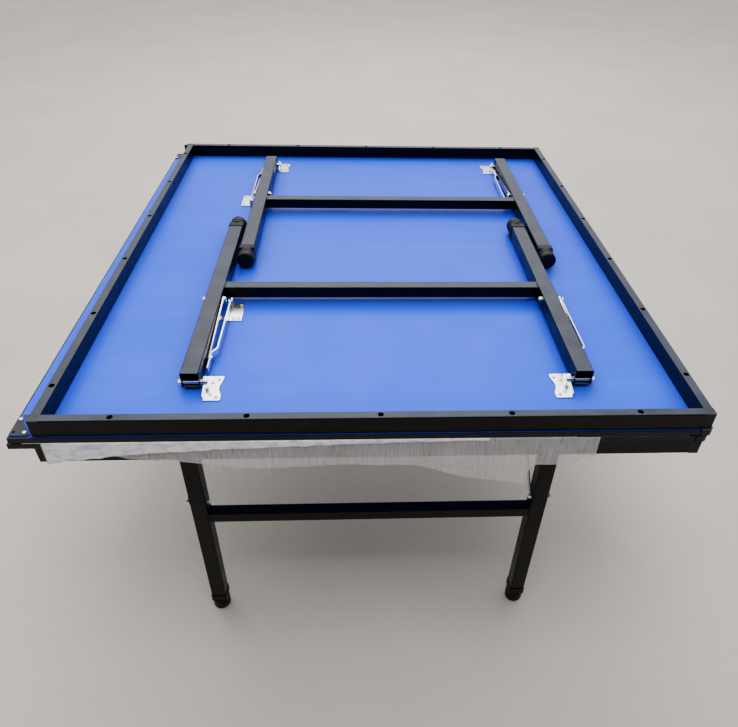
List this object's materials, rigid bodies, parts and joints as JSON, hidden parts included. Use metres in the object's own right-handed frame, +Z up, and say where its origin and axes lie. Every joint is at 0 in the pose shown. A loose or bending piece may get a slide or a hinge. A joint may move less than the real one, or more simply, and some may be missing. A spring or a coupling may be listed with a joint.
{
  "type": "folding games table",
  "caption": "Two-piece folding games table stacked for storage: one half stands on folding legs, the other lies on it upside down with its legs folded, foam between.",
  "frame": {"origin": "on the floor, under the middle of the stack's bounding box", "axes": "+Z up, +X from the net edge to the end edge, +Y from the front edge to the back edge, so the picture looks along +Y"},
  "size_m": [1.377, 1.5298, 0.8229],
  "materials": {
    "blue_board": "blue painted panel, satin",
    "edge_band": "black plastic edging, satin",
    "black_frame": "black powder coat, satin",
    "black_plate": "black powder coat, satin",
    "black_plastic": "moulded black plastic, fine texture",
    "zinc_hardware": "bright zinc plate",
    "white_foam": "thin expanded polyethylene foam sheet, translucent white"
  },
  "bodies": {
    "lower_half": {"lower_board": "blue_board", "lower_edge_band": "edge_band", "lower_front_rail": "black_frame", "lower_back_rail": "black_frame", "lower_net_rail": "black_frame", "lower_end_rail": "black_frame", "lower_corner_caps": "black_plastic", "lower_net_plates": "black_plate", "lower_leg_brackets": "zinc_hardware", "lower_brace_anchors": "zinc_hardware", "lower_screws": "zinc_hardware", "foam_sheet": "white_foam"},
    "upper_half": {"upper_board": "blue_board", "upper_edge_band": "edge_band", "upper_front_rail": "black_frame", "upper_back_rail": "black_frame", "upper_net_rail": "black_frame", "upper_end_rail": "black_frame", "upper_corner_caps": "black_plastic", "upper_net_plates": "black_plate", "upper_leg_brackets": "zinc_hardware", "upper_brace_anchors": "zinc_hardware", "upper_screws": "zinc_hardware"},
    "lower_front_legs": {"lower_front_left_leg": "black_frame", "lower_front_right_leg": "black_frame", "lower_front_crossbar": "black_frame", "lower_front_bolts": "zinc_hardware", "lower_front_foot_caps": "black_plastic"},
    "lower_front_right_leg_strip": {"lower_front_right_leg_strip": "zinc_hardware"},
    "lower_front_right_board_strip": {"lower_front_right_board_strip": "zinc_hardware"},
    "lower_front_left_leg_strip": {"lower_front_left_leg_strip": "zinc_hardware"},
    "lower_front_left_board_strip": {"lower_front_left_board_strip": "zinc_hardware"},
    "lower_back_legs": {"lower_back_left_leg": "black_frame", "lower_back_right_leg": "black_frame", "lower_back_crossbar": "black_frame", "lower_back_bolts": "zinc_hardware", "lower_back_foot_caps": "black_plastic"},
    "lower_back_left_leg_strip": {"lower_back_left_leg_strip": "zinc_hardware"},
    "lower_back_left_board_strip": {"lower_back_left_board_strip": "zinc_hardware"},
    "lower_back_right_leg_strip": {"lower_back_right_leg_strip": "zinc_hardware"},
    "lower_back_right_board_strip": {"lower_back_right_board_strip": "zinc_hardware"},
    "upper_front_legs": {"upper_front_left_leg": "black_frame", "upper_front_right_leg": "black_frame", "upper_front_crossbar": "black_frame", "upper_front_bolts": "zinc_hardware", "upper_front_foot_caps": "black_plastic"},
    "upper_front_left_leg_strip": {"upper_front_left_leg_strip": "zinc_hardware"},
    "upper_front_left_board_strip": {"upper_front_left_board_strip": "zinc_hardware"},
    "upper_front_right_leg_strip": {"upper_front_right_leg_strip": "zinc_hardware"},
    "upper_front_right_board_strip": {"upper_front_right_board_strip": "zinc_hardware"},
    "upper_back_legs": {"upper_back_left_leg": "black_frame", "upper_back_right_leg": "black_frame", "upper_back_crossbar": "black_frame", "upper_back_bolts": "zinc_hardware", "upper_back_foot_caps": "black_plastic"},
    "upper_back_right_leg_strip": {"upper_back_right_leg_strip": "zinc_hardware"},
    "upper_back_right_board_strip": {"upper_back_right_board_strip": "zinc_hardware"},
    "upper_back_left_leg_strip": {"upper_back_left_leg_strip": "zinc_hardware"},
    "upper_back_left_board_strip": {"upper_back_left_board_strip": "zinc_hardware"}
  },
  "joints": [
    {"name": "half_fold", "type": "hinge", "parent": "lower_half", "child": "upper_half", "pos_m": [-0.6865, 0, 0.7615], "axis": [0, -1, 0], "range_deg": [0, 180]},
    {"name": "lower_front_leg_fold", "type": "hinge", "parent": "lower_half", "child": "lower_front_legs", "pos_m": [0.0115, -0.61515, 0.733], "axis": [-1, 0, 0], "range_deg": [-90, 0]},
    {"name": "lower_front_right_leg_strip_turn", "type": "hinge", "parent": "lower_front_legs", "child": "lower_front_right_leg_strip", "pos_m": [0.40025, -0.63115, 0.437], "axis": [-1, 0, 0], "range_deg": [-43.5, 0]},
    {"name": "lower_front_right_board_strip_turn", "type": "hinge", "parent": "lower_half", "child": "lower_front_right_board_strip", "pos_m": [0.38725, -0.30215, 0.734], "axis": [-1, 0, 0], "range_deg": [0, 42.2]},
    {"name": "lower_front_left_leg_strip_turn", "type": "hinge", "parent": "lower_front_legs", "child": "lower_front_left_leg_strip", "pos_m": [-0.42375, -0.63115, 0.437], "axis": [-1, 0, 0], "range_deg": [-43.5, 0]},
    {"name": "lower_front_left_board_strip_turn", "type": "hinge", "parent": "lower_half", "child": "lower_front_left_board_strip", "pos_m": [-0.43675, -0.30215, 0.734], "axis": [-1, 0, 0], "range_deg": [0, 42.2]},
    {"name": "lower_back_leg_fold", "type": "hinge", "parent": "lower_half", "child": "lower_back_legs", "pos_m": [-0.0365, 0.61585, 0.733], "axis": [1, 0, 0], "range_deg": [-90, 0]},
    {"name": "lower_back_left_leg_strip_turn", "type": "hinge", "parent": "lower_back_legs", "child": "lower_back_left_leg_strip", "pos_m": [-0.42525, 0.63185, 0.437], "axis": [1, 0, 0], "range_deg": [-43.5, 0]},
    {"name": "lower_back_left_board_strip_turn", "type": "hinge", "parent": "lower_half", "child": "lower_back_left_board_strip", "pos_m": [-0.41225, 0.30285, 0.734], "axis": [1, 0, 0], "range_deg": [0, 42.2]},
    {"name": "lower_back_right_leg_strip_turn", "type": "hinge", "parent": "lower_back_legs", "child": "lower_back_right_leg_strip", "pos_m": [0.39875, 0.63185, 0.437], "axis": [1, 0, 0], "range_deg": [-43.5, 0]},
    {"name": "lower_back_right_board_strip_turn", "type": "hinge", "parent": "lower_half", "child": "lower_back_right_board_strip", "pos_m": [0.41175, 0.30285, 0.734], "axis": [1, 0, 0], "range_deg": [0, 42.2]},
    {"name": "upper_front_leg_fold", "type": "hinge", "parent": "upper_half", "child": "upper_front_legs", "pos_m": [0.0465, -0.61515, 0.79], "axis": [1, 0, 0], "range_deg": [0, 90]},
    {"name": "upper_front_left_leg_strip_turn", "type": "hinge", "parent": "upper_front_legs", "child": "upper_front_left_leg_strip", "pos_m": [-0.34225, -0.31915, 0.806], "axis": [1, 0, 0], "range_deg": [0, 43.5]},
    {"name": "upper_front_left_board_strip_turn", "type": "hinge", "parent": "upper_half", "child": "upper_front_left_board_strip", "pos_m": [-0.32925, -0.30215, 0.789], "axis": [1, 0, 0], "range_deg": [-42.2, 0]},
    {"name": "upper_front_right_leg_strip_turn", "type": "hinge", "parent": "upper_front_legs", "child": "upper_front_right_leg_strip", "pos_m": [0.48175, -0.31915, 0.806], "axis": [1, 0, 0], "range_deg": [0, 43.5]},
    {"name": "upper_front_right_board_strip_turn", "type": "hinge", "parent": "upper_half", "child": "upper_front_right_board_strip", "pos_m": [0.49475, -0.30215, 0.789], "axis": [1, 0, 0], "range_deg": [-42.2, 0]},
    {"name": "upper_back_leg_fold", "type": "hinge", "parent": "upper_half", "child": "upper_back_legs", "pos_m": [0.0945, 0.61585, 0.79], "axis": [-1, 0, 0], "range_deg": [0, 90]},
    {"name": "upper_back_right_leg_strip_turn", "type": "hinge", "parent": "upper_back_legs", "child": "upper_back_right_leg_strip", "pos_m": [0.48325, 0.31985, 0.806], "axis": [-1, 0, 0], "range_deg": [0, 43.5]},
    {"name": "upper_back_right_board_strip_turn", "type": "hinge", "parent": "upper_half", "child": "upper_back_right_board_strip", "pos_m": [0.47025, 0.30285, 0.789], "axis": [-1, 0, 0], "range_deg": [-42.2, 0]},
    {"name": "upper_back_left_leg_strip_turn", "type": "hinge", "parent": "upper_back_legs", "child": "upper_back_left_leg_strip", "pos_m": [-0.34075, 0.31985, 0.806], "axis": [-1, 0, 0], "range_deg": [0, 43.5]},
    {"name": "upper_back_left_board_strip_turn", "type": "hinge", "parent": "upper_half", "child": "upper_back_left_board_strip", "pos_m": [-0.35375, 0.30285, 0.789], "axis": [-1, 0, 0], "range_deg": [-42.2, 0]}
  ],
  "couplings": [
    {"joint": "lower_front_right_leg_strip_turn", "follows": "lower_front_leg_fold", "ratio": 0.48176},
    {"joint": "lower_front_right_board_strip_turn", "follows": "lower_front_leg_fold", "ratio": -0.46748},
    {"joint": "lower_front_left_leg_strip_turn", "follows": "lower_front_leg_fold", "ratio": 0.48176},
    {"joint": "lower_front_left_board_strip_turn", "follows": "lower_front_leg_fold", "ratio": -0.46748},
    {"joint": "lower_back_left_leg_strip_turn", "follows": "lower_back_leg_fold", "ratio": 0.48176},
    {"joint": "lower_back_left_board_strip_turn", "follows": "lower_back_leg_fold", "ratio": -0.46748},
    {"joint": "lower_back_right_leg_strip_turn", "follows": "lower_back_leg_fold", "ratio": 0.48176},
    {"joint": "lower_back_right_board_strip_turn", "follows": "lower_back_leg_fold", "ratio": -0.46748},
    {"joint": "upper_front_left_leg_strip_turn", "follows": "upper_front_leg_fold", "ratio": 0.48176},
    {"joint": "upper_front_left_board_strip_turn", "follows": "upper_front_leg_fold", "ratio": -0.46748},
    {"joint": "upper_front_right_leg_strip_turn", "follows": "upper_front_leg_fold", "ratio": 0.48176},
    {"joint": "upper_front_right_board_strip_turn", "follows": "upper_front_leg_fold", "ratio": -0.46748},
    {"joint": "upper_back_right_leg_strip_turn", "follows": "upper_back_leg_fold", "ratio": 0.48176},
    {"joint": "upper_back_right_board_strip_turn", "follows": "upper_back_leg_fold", "ratio": -0.46748},
    {"joint": "upper_back_left_leg_strip_turn", "follows": "upper_back_leg_fold", "ratio": 0.48176},
    {"joint": "upper_back_left_board_strip_turn", "follows": "upper_back_leg_fold", "ratio": -0.46748}
  ]
}
